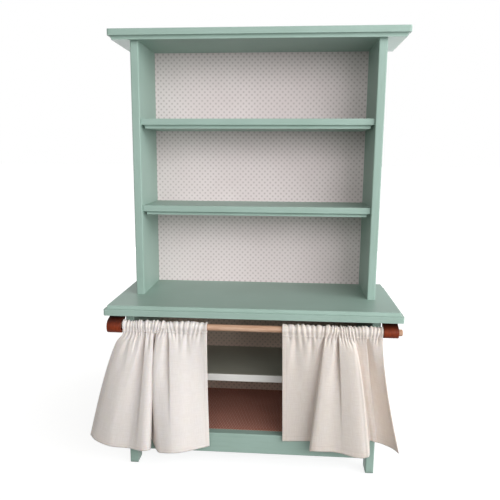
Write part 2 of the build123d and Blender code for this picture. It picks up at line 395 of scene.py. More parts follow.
@dataclass(frozen=True)
class SatinPaint:
    """A brushed satin paint over timber, lighter on its arrises: partly rubbed paint, partly a painted
    highlight.

    Attributes:
        front_colour: the colour of the faces turned to the front, where they differ; on the inner shelf the
            other faces are a darker greige, in part painted shade under the worktop.
    """

    name: str
    colour: Colour
    deep: Colour
    rubbed: Colour
    run: Run
    arris: float = 1.6 * MM
    front_colour: Colour | None = None

    def build(self, effects: Effects) -> bpy.types.Material:
        """Builds the material.

        Args:
            effects: the shader groups that the finishes share.

        Returns:
            The material.
        """
        graph = Surface(self.name)
        place = graph.place()
        rub = effects.rub.place(graph, {"Vector": place, "Radius": self.arris})
        tones = {"Colour": self.colour, "Deep": self.deep, "Rubbed": self.rubbed}
        coat = {"Vector": place, "Run": self.run.value, **tones, "Rub": rub["Mask"]}
        paint = effects.strokes.place(graph, coat)
        soft = graph.put("Bevel", {"Radius": self.arris / 2}, samples=6).outputs[0]
        colour = paint["Colour"]
        # faces turned to the front take front_colour; on the inner shelf the darker rest stands in part for
        # the worktop's shade
        if self.front_colour is not None:
            facing = graph.axes(graph.place("Normal"))["Y"]
            colour = graph.mix(graph.band(facing, -0.6, -0.8), colour, self.front_colour)
        return graph.finish(
            {
                "Base Color": colour,
                "Roughness": paint["Roughness"],
                "Normal": graph.relief(paint["Height"], 0.20, 0.4 * MM, Normal=soft),
                "Specular IOR Level": 0.3,
            }
        )


@dataclass(frozen=True)
class DottedPaper:
    """A matt lining paper printed with a lattice of small dots."""

    name: str
    ground: Colour
    ground_shade: Colour
    dot: Colour
    lie: Lie
    pitch: float = 11.5 * MM
    radius: float = 2.0 * MM

    def build(self, effects: Effects) -> bpy.types.Material:
        """Builds the material.

        Args:
            effects: the shader groups that the finishes share.

        Returns:
            The material.
        """
        graph = Surface(self.name)
        place = graph.place()
        parts = graph.axes(place)
        rows = {"Across": parts["X"], "Along": parts[self.lie.value], "Pitch": self.pitch}
        mask = effects.dots.place(graph, {**rows, "Dot": self.radius})["Mask"]
        fibre = graph.noise(place, 700.0, 4.0, 0.6)
        drift = graph.noise(place, 9.0, 2.0)
        mottle = graph.band(graph.weigh(fibre, 0.4, drift, 0.6), 0.38, 0.62)
        paper = graph.mix(mottle, self.ground_shade, self.ground)
        printed = graph.times(mask, graph.band(fibre, 0.2, 0.8, 0.72, 1.0))
        return graph.finish(
            {
                "Base Color": graph.mix(printed, paper, self.dot),
                "Roughness": graph.band(fibre, 0.2, 0.8, 0.72, 0.9),
                "Normal": graph.relief(fibre, 0.15, 0.2 * MM),
                "Specular IOR Level": 0.25,
            }
        )


@dataclass(frozen=True)
class BareWood:
    """Sanded, unpainted timber."""

    name: str
    light: Colour
    dark: Colour
    run: Run

    def build(self, effects: Effects) -> bpy.types.Material:
        """Builds the material.

        Args:
            effects: the shader groups that the finishes share.

        Returns:
            The material.
        """
        graph = Surface(self.name)
        stick = {"Vector": graph.place(), "Run": self.run.value, "Light": self.light, "Dark": self.dark}
        wood = effects.grain.place(graph, stick)
        return graph.finish(
            {
                "Base Color": wood["Colour"],
                "Roughness": wood["Roughness"],
                "Normal": graph.relief(wood["Height"], 0.25, 0.2 * MM),
                "Specular IOR Level": 0.35,
            }
        )


@dataclass(frozen=True)
class TannedLeather:
    """Smooth vegetable-tanned leather with fine pores and creases, with painted shade at its top under the
    worktop.
    """

    name: str
    colour: Colour
    dark: Colour
    # worktop_shade: a near-black tone painted on the strip's top as the worktop's shadow
    worktop_shade: Colour

    def build(self) -> bpy.types.Material:
        """Builds the material.

        Returns:
            The material.
        """
        graph = Surface(self.name)
        place = graph.place()
        pores = graph.put("TexVoronoi", {"Vector": place, "Scale": 1300.0}).outputs["Distance"]
        crease = graph.noise(graph.stretch(place, (3.0, 1.0, 1.0)), 160.0, 5.0, 0.65)
        shade = graph.weigh(crease, 0.5, graph.noise(place, 60.0), 0.5)
        colour = graph.mix(graph.band(shade, 0.36, 0.66), self.dark, self.colour)
        height = graph.weigh(pores, 0.6, crease, 0.8)
        return graph.finish(
            {
                # painted shade: towards its top the strip goes near black, where the worktop shades it
                "Base Color": graph.mix(self._painted_worktop_shade(graph, place), colour, self.worktop_shade),
                "Roughness": graph.band(crease, 0.3, 0.7, 0.36, 0.55),
                "Normal": graph.relief(height, 0.35, 0.3 * MM),
                "Specular IOR Level": 0.16,
            }
        )

    @staticmethod
    def _painted_worktop_shade(graph: Surface, place: NodeSocket) -> NodeSocket:
        """Paints shade on the strip's upper part, standing in for the worktop's shadow there.

        Args:
            graph: the material's graph.
            place: the piece's own coordinates.

        Returns:
            How much painted shade each spot takes, from 0 to 0.9.
        """
        low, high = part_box("strap_left")
        uneven = graph.times(graph.noise(place, 90.0, 2.0), 4 * MM)
        height = graph.plus(graph.axes(place)["Z"], uneven)
        return graph.band(height, (low.z + high.z) / 2 - 1 * MM, high.z - 2 * MM, 0.0, 0.9)


@dataclass(frozen=True)
class WovenCotton:
    """Plain woven cotton with slubs, sewn hems and a soft sheen.

    Attributes:
        length: from the seam under the rod to the turned hem.
        thread: two threads of the weave together.
        stitch: one stitch and the gap after it.
    """

    name: str
    colour: Colour
    shade: Colour
    width: float
    length: float
    hem: float
    side_hem: float
    sewing: Colour = tone(150, 138, 122)
    thread: float = 1.1 * MM
    stitch: float = 2.8 * MM

    def build(self) -> bpy.types.Material:
        """Builds the material on the cloth's own coordinates, in metres.

        Returns:
            The material.
        """
        graph = Surface(self.name)
        cloth = graph.put("UVMap", uv_map="cloth").outputs[0]
        parts = graph.axes(cloth)
        threads = self._threads(graph, parts)
        warp = graph.noise(graph.stretch(cloth, (1.0, 0.05, 1.0)), 900.0, 3.0, 0.6)
        weft = graph.noise(graph.stretch(cloth, (0.05, 1.0, 1.0)), 900.0, 3.0, 0.6)
        slub = graph.weigh(warp, 0.5, weft, 0.5)
        stitches = self._stitches(graph, parts)
        colour = graph.mix(graph.band(slub, 0.38, 0.62), self.shade, self.colour)
        height = graph.weigh(threads, 0.5, slub, 1.2)
        height = graph.maths("SUBTRACT", height, graph.times(stitches, 1.6))
        return graph.finish(
            {
                "Base Color": graph.mix(graph.times(stitches, 0.14), colour, self.sewing),
                "Roughness": graph.band(slub, 0.3, 0.7, 0.86, 0.96),
                "Normal": graph.relief(height, 0.35, 0.4 * MM),
                "Specular IOR Level": 0.18,
                "Sheen Weight": 0.12,
                "Sheen Roughness": 0.5,
                "Subsurface Weight": 0.15,
                "Subsurface Radius": (1.0, 0.60, 0.34),
                "Subsurface Scale": 4 * MM,
            }
        )

    def _threads(self, graph: Surface, parts: bpy.types.NodeOutputs) -> NodeSocket:
        """The over and under of the weave."""
        turns = [graph.times(parts[axis], 2 * math.pi / self.thread) for axis in ("X", "Y")]
        return graph.times(*(graph.maths("SINE", turn) for turn in turns))

    def _stitches(self, graph: Surface, parts: bpy.types.NodeOutputs) -> NodeSocket:
        """Lines of machine stitches along the hems and the rod pocket.

        Args:
            graph: the material's graph.
            parts: X across the cloth and Y down it, in metres.

        Returns:
            A mask of the stitches.
        """
        lines = (
            ("Y", self.length - self.hem, "X"),
            ("Y", 0.0, "X"),
            ("X", self.side_hem, "Y"),
            ("X", self.width - self.side_hem, "Y"),
        )
        marks = None
        for axis, place, along in lines:
            away = graph.maths("ABSOLUTE", graph.maths("SUBTRACT", parts[axis], place))
            dash = graph.maths("FRACT", graph.maths("DIVIDE", parts[along], self.stitch))
            mark = graph.times(graph.band(away, 0.9 * MM, 0.2 * MM), graph.band(dash, 0.05, 0.2))
            marks = mark if marks is None else graph.maths("MAXIMUM", marks, mark)
        return marks


@dataclass(frozen=True)
class DullBrass:
    """Brass that has lost its first shine."""

    name: str
    colour: Colour
    dark: Colour

    def build(self) -> bpy.types.Material:
        """Builds the material.

        Returns:
            The material.
        """
        graph = Surface(self.name)
        cloud = graph.noise(graph.place(), 500.0, 4.0)
        return graph.finish(
            {
                "Base Color": graph.mix(graph.band(cloud, 0.35, 0.65), self.dark, self.colour),
                "Roughness": graph.band(cloud, 0.3, 0.7, 0.28, 0.45),
                "Normal": graph.relief(cloud, 0.1, 0.1 * MM),
                "Metallic": 1.0,
            }
        )


def dress(node: bpy.types.Object, material: bpy.types.Material) -> None:
    """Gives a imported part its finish, in place of the plain one it came with.

    Args:
        node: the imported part.
        material: its finish.
    """
    node.data.materials.clear()
    node.data.materials.append(material)
    LOG.info("dressed %s with %s", node.name, material.name)


def show(name: str, data: bpy.types.ID) -> bpy.types.Object:
    """Puts a mesh, a lamp or a camera into the scene.

    Args:
        name: the object's name.
        data: what the object holds.

    Returns:
        The object, linked to the scene.
    """
    shown = bpy.data.objects.new(name, data)
    bpy.context.scene.collection.objects.link(shown)
    return shown


def make_mesh(name: str, verts: list, faces: list, material: bpy.types.Material) -> bpy.types.Object:
    """Makes a smooth-shaded mesh object with outward faces.

    Args:
        name: the object's name.
        verts: vertex positions in metres.
        faces: vertex indices of each face.
        material: the finish.

    Returns:
        The object, linked to the scene.
    """
    mesh = bpy.data.meshes.new(name)
    mesh.from_pydata([tuple(v) for v in verts], [], faces)
    mesh.validate()
    mesh.polygons.foreach_set("use_smooth", [True] * len(mesh.polygons))
    mesh.materials.append(material)
    return show(name, mesh)


def quads(rows: int, columns: int, closed: bool = False) -> list[tuple[int, ...]]:
    """The faces between rows of points.

    Args:
        rows: how many rows there are.
        columns: how many points each row has.
        closed: whether each row's last point is joined to its first.

    Returns:
        Four point numbers for each face.
    """
    faces = []
    for row in range(rows - 1):
        here, below = row * columns, (row + 1) * columns
        for column in range(columns if closed else columns - 1):
            beside = (column + 1) % columns
            faces.append((here + column, here + beside, below + beside, below + column))
    return faces


# ---- the stage -----------------------------------------------------------------


@dataclass(frozen=True)
class SoftLamp:
    """One soft rectangular lamp.

    Attributes:
        place: where it hangs.
        target: the point it faces.
        size: its width and height.
        power: its power in watts.
    """

    name: str
    place: tuple[float, float, float]
    target: tuple[float, float, float]
    size: tuple[float, float]
    power: float

    def hang(self, colour: tuple[float, float, float]) -> None:
        """Hangs the lamp and aims it.

        Args:
            colour: the colour of its light.
        """
        data = bpy.data.lights.new(self.name, "AREA")
        data.shape = "RECTANGLE"
        data.size, data.size_y = self.size
        data.energy, data.color = self.power, colour
        aim = (Vector(self.target) - Vector(self.place)).to_track_quat("-Z", "Y")
        show(self.name, data).matrix_world = Matrix.Translation(self.place) @ aim.to_matrix().to_4x4()


LAMPS = (
    SoftLamp("window", (1.75, -1.60, 1.20), (0.0, 0.0, 0.50), (2.8, 1.7), 60.0),
    SoftLamp("room", (-0.2, -2.4, 1.3), (0.0, 0.0, 0.6), (2.4, 1.2), 19.0),
    SoftLamp("side", (1.9, -0.55, 0.75), (-0.2, 0.0, 0.55), (0.9, 1.1), 9.0),
    SoftLamp("rear", (0.0, 2.6, 0.3), (0.0, 0.0, 0.35), (2.4, 0.5), 18.0),
)


@dataclass
class Stage:
    """The pale room: camera, lamps, world and floor.

    Attributes:
        eye: where the camera stands.
        yaw: the camera's turn to the right, in radians.
        pitch: its turn upwards.
        roll: how far its right side is lifted, in radians.
        lens: its focal length, and `sensor` the width of its film, in mm.
        sight: how far it sees, in metres.
        shift: the camera's shift across and up.
        near: the ring round the object in which the floor brightens to full white.
        near_level: how bright the floor is inside that ring.
        ambient: the strength of the world's light, whose colour is `glow`.
    """

    eye: tuple[float, float, float] = (0.0769, -1.1235, 0.5918)
    yaw: float = -0.083
    pitch: float = -0.191
    roll: float = 0.005
    lens: float = 42.33
    sensor: float = 36.0
    sight: float = 100.0
    shift: tuple[float, float] = (0.0243, 0.0371)
    floor_reach: float = 30.0
    floor_grey: Colour = (0.32, 0.32, 0.32, 1.0)
    near: tuple[float, float] = (0.35, 1.1)
    near_level: float = 0.84
    ambient: float = 0.25
    glow: Colour = (1.0, 0.955, 0.89, 1.0)
    white: Colour = (1.0, 1.0, 1.0, 1.0)
    daylight: tuple[float, float, float] = (0.975, 0.99, 1.0)

    def set_up(self) -> None:
        """Makes everything on the stage."""
        self._camera()
        self._world()
        self._floor()
        for lamp in LAMPS:
            lamp.hang(self.daylight)

    def _camera(self) -> None:
        """Places the camera by its direction angles."""
        level = math.cos(self.pitch)
        forward = Vector((math.sin(self.yaw) * level, math.cos(self.yaw) * level, math.sin(self.pitch)))
        right = Vector((math.cos(self.yaw), -math.sin(self.yaw), 0.0))
        up = right.cross(forward)
        turned_right = math.cos(self.roll) * right + math.sin(self.roll) * up
        turned_up = math.cos(self.roll) * up - math.sin(self.roll) * right
        data = bpy.data.cameras.new("camera")
        data.lens, data.sensor_width, data.clip_end = self.lens, self.sensor, self.sight
        data.shift_x, data.shift_y = self.shift
        camera = show("camera", data)
        turn = Matrix((turned_right, turned_up, -forward)).transposed().to_4x4()
        camera.matrix_world = Matrix.Translation(self.eye) @ turn
        bpy.context.scene.camera = camera

    @staticmethod
    def _seen(graph: Graph) -> NodeSocket:
        """Tells the rays that the camera sends from those that light the object.

        Args:
            graph: the graph of the material or world.

        Returns:
            1 for rays from the camera, straight, mirrored or through glass; else 0.
        """
        path = graph.put("LightPath").outputs
        seen = graph.maths("MAXIMUM", path["Is Camera Ray"], path["Is Glossy Ray"])
        return graph.maths("MAXIMUM", seen, path["Is Transmission Ray"])

    def _world(self) -> None:
        """A white surround that lights the object gently."""
        world = bpy.data.worlds.new("room")
        bpy.context.scene.world = world
        world.use_nodes = True
        world.node_tree.nodes.clear()
        graph = Graph(world.node_tree)
        seen = self._seen(graph)
        strength = graph.band(seen, 0.0, 1.0, self.ambient, 1.0)
        colour = graph.mix(seen, self.glow, self.white)
        surround = graph.put("Background", {"Color": colour, "Strength": strength})
        graph.put("OutputWorld", {"Surface": surround.outputs[0]})

    def _floor(self) -> None:
        """A white floor that keeps the object's soft shadow."""
        graph = Surface("floor_white")
        matt = {"Base Color": self.floor_grey, "Roughness": 0.9, "Specular IOR Level": 0.0}
        away = graph.put("VectorMath", {0: graph.place()}, operation="LENGTH").outputs["Value"]
        level = graph.times(self._seen(graph), graph.band(away, *self.near, self.near_level, 1.0))
        glow = graph.put("Emission", {"Color": self.white, "Strength": level})
        both = graph.put("AddShader", {0: graph.shader.outputs[0], 1: glow.outputs[0]})
        graph.fill(graph.tree.nodes["Material Output"], {"Surface": both.outputs[0]})
        reach = self.floor_reach
        corners = [(-reach, -reach, 0), (reach, -reach, 0), (reach, reach, 0), (-reach, reach, 0)]
        mesh = bpy.data.meshes.new("floor")
        mesh.from_pydata(corners, [], [(0, 1, 2, 3)])
        mesh.materials.append(graph.finish(matt))
        show("floor", mesh)


# ---- carcass -------------------------------------------------------------------


BOARDS = {
    Run.ACROSS: ("top_board", "upper_shelf", "lower_shelf", "worktop", "front_rail", "bottom_board"),
    Run.UPRIGHT: (
        *("hutch_side_left", "hutch_side_right", "hutch_back_panel"),
        *("base_side_left", "base_side_right", "base_back_panel"),
    ),
}
DOWELS = ("top_board_dowels", "hutch_foot_dowels", "worktop_dowels")
# the third tone of GREEN and GREIGE lights the arrises: partly rubbed paint, partly a painted highlight
GREEN = (tone(156, 180, 170), tone(148, 172, 161), tone(180, 204, 194))
# GREIGE on the inner shelf's top and back is darker than its white front, in part painted shade under the
# worktop
GREIGE = (tone(165, 164, 152), tone(156, 152, 140), tone(176, 176, 164))
WHITE = tone(236, 234, 230)
CREAM_PRINT = (tone(237, 224, 224), tone(231, 217, 217), tone(196, 180, 180))
# painted shade: the base's papers are darker, warmer copies of the hutch's cream print, standing in for the
# deep shade inside the base; the floor paper's dots are also set closer
SHADED_BASE_PRINT = (tone(208, 186, 172), tone(196, 172, 158), tone(168, 150, 138))
SHADED_FLOOR_PRINT = (tone(166, 88, 68), tone(146, 70, 52), tone(230, 198, 182))
LININGS = {
    "hutch_lining_paper": DottedPaper("hutch_paper", *CREAM_PRINT, Lie.WALL),
    "base_lining_paper": DottedPaper("base_paper", *SHADED_BASE_PRINT, Lie.WALL),
    "bottom_lining_paper": DottedPaper("floor_paper", *SHADED_FLOOR_PRINT, Lie.FLOOR, 5.75 * MM, 1.35 * MM),
}


@dataclass
class Carcass:
    """The painted boards, their paper linings and the hidden fixings."""

    nodes: dict[str, bpy.types.Object]
    effects: Effects

    def dress_all(self) -> None:
        """Gives every fixed board, paper and dowel its finish."""
        for run, boards in BOARDS.items():
            paint = SatinPaint(f"green_paint_{run.name.lower()}", *GREEN, run)
            self._dress(boards, paint.build(self.effects))
        # painted shade in part: the shelf's top and back are greige, darker than its white front, under the
        # worktop
        shelf = SatinPaint("inner_shelf_paint", *GREIGE, Run.ACROSS, front_colour=WHITE)
        self._dress(("inner_shelf",), shelf.build(self.effects))
        for node, paper in LININGS.items():
            self._dress((node,), paper.build(self.effects))
        dowel = BareWood("dowel_wood", tone(214, 176, 134), tone(176, 132, 92), Run.UPRIGHT)
        self._dress(DOWELS, dowel.build(self.effects))
        brass = DullBrass("screw_brass", tone(196, 160, 92), tone(138, 104, 56))
        self._dress(("strap_screws",), brass.build())

    def _dress(self, names: tuple[str, ...], material: bpy.types.Material) -> None:
        """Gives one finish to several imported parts."""
        for name in names:
            dress(self.nodes[name], material)


# ---- leather loops -------------------------------------------------------------


@dataclass
class LeatherLoop:
    """A leather strip doubled round the rod, its ends screwed under the worktop.

    Attributes:
        slack: how loosely the loop hangs on the rod.
        slack_forward: the share of the slack by which the loop's middle lies forward.
        slack_down: the share by which it lies lower.
        slack_round: the share by which it is rounder.
        meet_reach: from the rod's axis back to where the two layers meet.
    """

    side: Side
    rod_centre: Vector
    rod_radius: float
    leather: bpy.types.Material
    slack: float
    slack_forward: float = 0.62
    slack_down: float = 0.10
    slack_round: float = 0.38
    meet_reach: float = 19 * MM
    thickness: float = 3.0 * MM
    width: float = 26.1 * MM
    edge_round: float = 0.7 * MM
    tail_bow: float = 0.25 * MM
    rod_gap: float = 0.25 * MM
    board_gap: float = 0.1 * MM
    layer_gap: float = 0.05 * MM
    tail_gap: float = 0.4 * MM
    arc_steps: int = 36
    run_steps: int = 14

    @property
    def node(self) -> str:
        """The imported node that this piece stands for."""
        return f"strap_{self.side.name.lower()}"

    def _path(self) -> list[Vector]:
        """The strip's middle line in the plane of Y and Z.

        Returns:
            Its points, from the upper tail to the lower one.
        """
        _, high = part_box(self.node)
        hang = Vector((0.0, self.slack_forward, self.slack_down)) * self.slack
        centre = Vector((0.0, self.rod_centre.y, self.rod_centre.z)) - hang
        radius = self.rod_radius + self.rod_gap + self.thickness / 2 + self.slack_round * self.slack
        top_z = high.z - self.board_gap - self.thickness / 2
        levels = (top_z, top_z - self.thickness - self.layer_gap)
        upper, lower = (Vector((0.0, self.rod_centre.y + self.meet_reach, z)) for z in levels)
        upper_tail, lower_tail = (Vector((0.0, high.y - self.tail_gap, z)) for z in levels)
        start, end = self._touch(upper - centre, radius, 1), self._touch(lower - centre, radius, -1)
        sweep = (end - start) % (2 * math.pi)
        turns = [start + sweep * step / self.arc_steps for step in range(self.arc_steps + 1)]
        arc = [centre + radius * Vector((0.0, math.cos(turn), math.sin(turn))) for turn in turns]
        path = self._run(upper_tail, upper) + self._run(upper, arc[0], self.tail_bow) + arc
        path += self._run(arc[-1], lower, self.tail_bow)[1:] + self._run(lower, lower_tail)
        return self._relax([*path, lower_tail])

    @staticmethod
    def _touch(point: Vector, radius: float, sense: int) -> float:
        """The angle at which a line from a point touches a circle about the origin."""
        return math.atan2(point.z, point.y) + sense * math.acos(min(1.0, radius / point.length))

    def _run(self, start: Vector, end: Vector, bow: float = 0.0) -> list[Vector]:
        """A straight run, or a slightly bowed one, as stiff leather has.

        Args:
            start: its first point.
            end: the point that it leads to.
            bow: how far it bows outwards.

        Returns:
            Its points without the end.
        """
        along = (end - start).normalized()
        outward = Vector((0.0, along.z, -along.y))
        shares = [step / self.run_steps for step in range(self.run_steps)]
        return [start.lerp(end, share) + outward * bow * math.sin(math.pi * share) for share in shares]

    @staticmethod
    def _relax(points: list[Vector], rounds: int = 3) -> list[Vector]:
        """Evens out corners, leaving both ends where they are.

        Args:
            points: the line's points.
            rounds: how many times it is evened out.

        Returns:
            The evened points.
        """
        for _ in range(rounds):
            trios = zip(points, points[1:], points[2:])
            inner = [here * 0.5 + (behind + ahead) * 0.25 for behind, here, ahead in trios]
            points = [points[0], *inner, points[-1]]
        return points

    def _section(self) -> list[tuple[float, float]]:
        """The strip's cross-section, with rounded edges.

        Returns:
            Places across the width and through the thickness.
        """
        r = self.edge_round
        points = []
        for quarter, (right, outer) in enumerate(((1, 1), (-1, 1), (-1, -1), (1, -1))):
            x, t = right * (self.width / 2 - r), outer * (self.thickness / 2 - r)
            for step in range(4):
                turn = math.radians(90 * quarter + 30 * step)
                points.append((x + r * math.cos(turn), t + r * math.sin(turn)))
        return points

    def build(self) -> None:
        low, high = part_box(self.node)
        middle = (low.x + high.x) / 2
        section, path = self._section(), self._path()
        verts = []
        for index, point in enumerate(path):
            run = (path[min(index + 1, len(path) - 1)] - path[max(index - 1, 0)]).normalized()
            for x, t in section:
                verts.append((middle + x, point.y + run.z * t, point.z - run.y * t))
        count, last = len(section), len(verts) - len(section)
        caps = [tuple(range(count))[::-1], tuple(range(last, last + count))]
        faces = quads(len(path), count, closed=True) + caps
        piece = make_mesh(f"{self.node}_leather", verts, faces, self.leather)
        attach(piece, "carcass")
        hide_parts(self.node)
        LOG.info("built %s", piece.name)


# ---- curtains ------------------------------------------------------------------


@dataclass(frozen=True)
class Fold:
    """One place on the hem, and where its cloth starts on the heading.

    Attributes:
        head: how far across the heading it starts, as a share from the outer edge.
        across: the hem's distance from the heading's outer edge, inwards, in mm.
        forward: how far in front of the base it hangs, in mm.
        height: the hem's height over the floor, in mm.
        valley: whether the cloth is folded back here.
        bow: below 1, the cloth spreads sooner on its way down.
        swerve: how far inwards the cloth strays on the way down, in mm.
    """

    head: float
    across: float
    forward: float
    height: float
    valley: bool = False
    bow: float = 1.0
    swerve: float = 0.0


@dataclass(frozen=True)
class Gather:
    """One valley between two gathers at the seam.

    Attributes:
        head: its place across the heading, as a share from the outer edge.
        depth: how deep it is below the seam, in mm.
        reach: how far below the seam it runs out, in mm.
        lean: how much of its width lies on its outer side.
    """

    head: float
    depth: float
    reach: float
    lean: float = 0.5


@dataclass
class Gathers:
    """The row of gathers across a heading, as fields over the cloth.

    Attributes:
        slants: how far each valley runs inwards on its way down, as a share of that way.
        tightness: how deep each valley is drawn on the rod; a plain one has 1.
        puffs: how much further each gather stands up than a plain one, in metres.
        puckers: fine wrinkles all across the heading, in metres.
        seam_share: how many times deeper a valley is at the seam than on the rod.
        overhang: how far a leaning valley reaches in under its steep side.
        straighten: the way below the seam in which the slants run out.
        widening: the way in which a valley doubles its width.
        softening: the way in which a sharp crease turns into a soft one.
        deepening: the way in which a valley reaches its full depth.
        crease_power: the shape of a sharp crease; a lower one is sharper.
        crease_blunt: what rounds off the bottom of a sharp crease.
        fade_power: how suddenly a valley runs out below the seam.
    """

    row: tuple[Gather, ...]
    width: float
    slants: np.ndarray
    tightness: np.ndarray
    puffs: np.ndarray
    puckers: np.ndarray
    seam_share: float = 2.0
    overhang: float = 0.75
    spread: float = 1.2
    straighten: float = 14 * MM
    widening: float = 40 * MM
    softening: float = 22 * MM
    deepening: float = 7 * MM
    crease_power: float = 1.3
    crease_blunt: float = 0.003
    fade_power: float = 1.7

    @property
    def places(self) -> np.ndarray:
        """The places of the valleys across the heading, between its two edges."""
        return np.array([0.0, *(g.head for g in self.row), 1.0])

    def field(self, heads: np.ndarray, down: float, depths: np.ndarray) -> tuple[np.ndarray, np.ndarray]:
        """How far each column is drawn away by the valleys near it.

        Args:
            heads: each column's place on the heading.
            down: the distance below the seam in metres, negative on the pocket.
            depths: how deep each valley is here, in metres.

        Returns:
            For each column, the distance back and the distance inwards.
        """
        places = self.places
        back, aside = np.zeros_like(heads), np.zeros_like(heads)
        widen = max(down, 0.0) / self.widening
        soft = 1 - math.exp(-max(down, 0.0) / self.softening)
        slip = down if down < 0 else self.straighten * (1 - math.exp(-down / self.straighten))
        for index, depth in enumerate(depths):
            lean = self.row[index].lean
            place = places[index + 1] + self.slants[index] * slip / self.width
            outer = (places[index + 1] - places[index]) * self._share(lean, widen)
            inner = (places[index + 2] - places[index + 1]) * self._share(1 - lean, widen)
            width = self.spread * np.where(heads < place, outer, inner)
            reach = np.minimum(np.abs(heads - place) / width, 1.0)
            sharp = np.sin(0.5 * np.pi * reach) ** self.crease_power
            crease = 1 - np.sqrt(sharp + self.crease_blunt)
            wave = 0.5 + 0.5 * np.cos(np.pi * reach)
            here = depth * (crease * (1 - soft) + wave * soft)
            back += here
            aside += self.overhang * (2 * lean - 1) * here
        return back, aside

    @staticmethod
    def _share(lean: float, widen: float) -> float:
        """How wide one side of a valley is; a steep side stays narrow on its way down."""
        return lean * (1 + widen * min(2 * lean, 1.0) ** 2)

    def crests(self, heads: np.ndarray) -> np.ndarray:
        """How much further each column stands up on the rod than a plain one, in metres."""
        tall = np.interp(heads, (self.places[:-1] + self.places[1:]) / 2, self.puffs)
        return tall + np.interp(heads, np.linspace(0, 1, len(self.puckers)), self.puckers)

    def pocket_depths(self) -> np.ndarray:
        """The depth of each valley on the rod, in metres: 1 mm, and up to 1.1 mm more for a deep one."""
        return np.array([1.0 + 1.1 * min(g.depth / 4, 1.0) for g in self.row]) * MM * self.tightness

    def skirt_depths(self, down: float) -> np.ndarray:
        """How deep the valleys are on the hanging part.

        Args:
            down: the distance below the seam in metres.

        Returns:
            The depth of each valley, in metres.
        """
        pocket = self.seam_share * self.pocket_depths()
        full = np.array([g.depth for g in self.row]) * MM
        reach = np.array([g.reach for g in self.row]) * MM
        grown = pocket + (full - pocket) * (1 - math.exp(-down / self.deepening))
        return grown * np.exp(-((down / reach) ** self.fade_power))


@dataclass(frozen=True)
class Hem:
    """The hem at even steps along the cloth.

    Attributes:
        points: its places on the ridges, in metres.
        back: how far the cloth is folded back from them.
        heads: where each one's cloth starts on the heading, as a share.
        bow: how late its cloth spreads on the way down.
        swerve: how far along X its cloth strays on the way down.
    """

    points: np.ndarray
    back: np.ndarray
    heads: np.ndarray
    bow: np.ndarray
    swerve: np.ndarray


@dataclass(frozen=True)
class CurtainPlan:
    """What makes one curtain hang as it does.

    Attributes:
        skirt: from the seam under the rod to the turned hem.
        trim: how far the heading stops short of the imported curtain's inner side.
        seed: what the unevenness of its gathers is drawn from.
    """

    side: Side
    folds: tuple[Fold, ...]
    gathers: tuple[Gather, ...]
    skirt: float
    trim: float
    seed: int
    colour: Colour
    shade: Colour


CLOTH_SETTINGS = {
    "quality": 6,
    "mass": 0.3,
    "tension_stiffness": 20.0,
    "compression_stiffness": 20.0,
    "shear_stiffness": 8.0,
    "bending_stiffness": 1.5,
    "air_damping": 2.0,
    "vertex_group_mass": "held",
    "pin_stiffness": 1.0,
}


